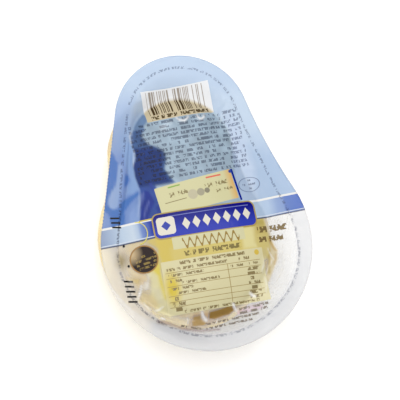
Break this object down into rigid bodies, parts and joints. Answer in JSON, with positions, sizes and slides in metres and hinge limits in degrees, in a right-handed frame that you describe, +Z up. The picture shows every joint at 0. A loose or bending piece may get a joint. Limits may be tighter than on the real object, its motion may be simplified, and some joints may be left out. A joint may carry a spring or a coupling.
{
  "type": "packed smoked scamorza cheese",
  "caption": "Pear-shaped smoked scamorza sealed in a clear formed pocket with a flat flange and a printed lid film, lying on its back.",
  "frame": {"origin": "centre of the bounding box, at the table that the pack lies on", "axes": "+Y from the body of the pear to its head, +X to the right when the print is read, +Z up, out of the printed film"},
  "size_m": [0.0918, 0.1304, 0.0442],
  "materials": {
    "cheese_in_clear_film": "golden smoked cheese under clear glossy film",
    "printed_film": "pale blue and clear glossy printed film"
  },
  "bodies": {
    "root": {"filled_pocket": "cheese_in_clear_film", "printed_film": "printed_film"}
  },
  "joints": []
}
